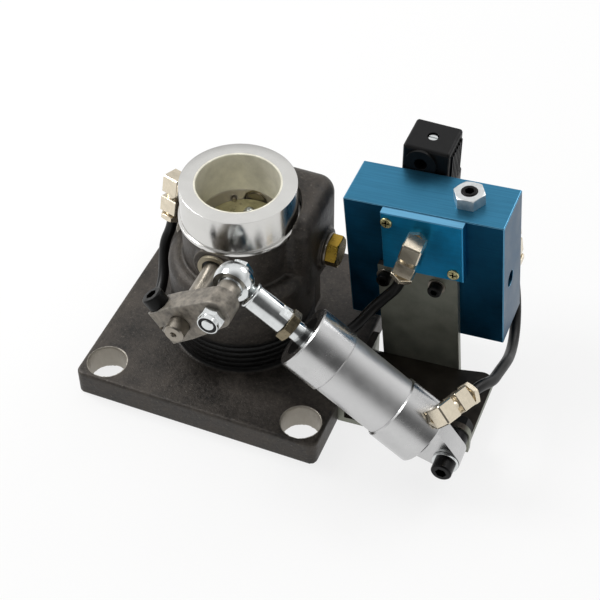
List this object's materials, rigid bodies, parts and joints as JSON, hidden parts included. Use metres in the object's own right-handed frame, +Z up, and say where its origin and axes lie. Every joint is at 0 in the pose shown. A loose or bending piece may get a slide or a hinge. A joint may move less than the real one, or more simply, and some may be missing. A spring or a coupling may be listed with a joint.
{
  "type": "air compressor intake valve",
  "caption": "Butterfly intake valve for a rotary air compressor: square flanged casting, turned inlet collar, shaft lever worked by an air cylinder, and a blue control block on a bracket.",
  "frame": {"origin": "centre of the square flange's bottom face, on the axis of the throat", "axes": "+X to the right along the flange's front edge, towards the control block, +Y to the back, +Z up along the throat"},
  "size_m": [0.2519, 0.1854, 0.142],
  "materials": {
    "casting": "sand-cast, dark grey-brown, matt",
    "lever_iron": "light grey cast face, satin",
    "brass": "machined, satin",
    "nickel_brass": "nickel plated, satin",
    "bush_bronze": "turned bronze",
    "turned_aluminium": "turned, bright",
    "polished_aluminium": "satin polished",
    "cylinder_aluminium": "matt anodised grey",
    "blue_aluminium": "brushed, blue anodised",
    "plain_steel": "machined",
    "shaft_steel": "ground",
    "zinc_steel": "bright zinc plated",
    "yellow_zinc": "yellow zinc plated",
    "black_steel": "black oxide",
    "bracket_steel": "dark grey, satin",
    "ball_chrome": "hard chrome, polished",
    "black_rubber": "matt",
    "hose_rubber": "smooth black",
    "black_plastic": "moulded, fine grain"
  },
  "bodies": {
    "valve": {"valve_body": "casting", "brass_plug": "brass", "plug_washer": "black_rubber", "inlet_collar": "turned_aluminium", "collar_seal": "black_rubber", "front_shaft_bush": "bush_bronze", "shaft_seal": "black_rubber", "rear_shaft_bush": "bush_bronze", "thrust_washer": "plain_steel", "shaft_end_cap": "zinc_steel", "disc_stop_pin": "plain_steel", "tail_screw": "black_steel", "tail_washer": "zinc_steel", "tail_spacer": "black_steel", "tail_nut": "black_steel", "valve_block": "blue_aluminium", "front_plate": "blue_aluminium", "plate_screws": "yellow_zinc", "adjuster_screw": "black_steel", "lock_nut": "zinc_steel", "bracket": "bracket_steel", "bracket_screws": "black_steel", "block_screws": "black_steel", "block_screw_washers": "yellow_zinc", "solenoid_stem": "zinc_steel", "solenoid_coil": "black_plastic", "solenoid_nut": "zinc_steel", "connector_gasket": "black_rubber", "plug_connector": "black_plastic", "connector_screw": "zinc_steel", "foot_nipple": "nickel_brass", "fixed_elbows": "nickel_brass", "fixed_hose_nuts": "nickel_brass", "signal_hose": "hose_rubber", "feed_hose": "hose_rubber", "breather_hose": "hose_rubber"},
    "shaft": {"butterfly_shaft": "shaft_steel", "butterfly_disc": "plain_steel", "disc_screws": "zinc_steel", "shaft_circlip": "black_steel", "lever": "lever_iron", "lever_clamp_screw": "black_steel", "pivot_bolt": "zinc_steel", "pivot_spacer": "plain_steel", "nyloc_nut": "zinc_steel", "rod_end_ball": "ball_chrome"},
    "rod": {"rod_end": "zinc_steel", "jam_nut": "yellow_zinc", "piston_rod": "ball_chrome", "piston": "cylinder_aluminium", "piston_seal": "black_rubber"},
    "cylinder": {"cylinder_front_cap": "polished_aluminium", "rod_wiper": "black_rubber", "rod_gland": "bush_bronze", "cylinder_tube": "cylinder_aluminium", "cylinder_rear_cap": "polished_aluminium", "cylinder_elbows": "nickel_brass", "cylinder_hose_nuts": "nickel_brass"}
  },
  "joints": [
    {"name": "shaft_turn", "type": "hinge", "parent": "valve", "child": "shaft", "pos_m": [0, -0.056, 0.0982], "axis": [0, -1, 0], "range_deg": [0, 60]},
    {"name": "rod_swivel", "type": "hinge", "parent": "shaft", "child": "rod", "pos_m": [0.02144, -0.056, 0.11378], "axis": [0, -1, 0], "range_deg": [-60, 0]},
    {"name": "cylinder_slide", "type": "slide", "parent": "rod", "child": "cylinder", "axis": [0.8198, 0, -0.5727], "range_m": [0, 0.0265]}
  ],
  "couplings": [
    {"joint": "rod_swivel", "follows": "shaft_turn", "ratio": -0.98642},
    {"joint": "cylinder_slide", "follows": "shaft_turn", "m_per_rad": 0.025269}
  ]
}
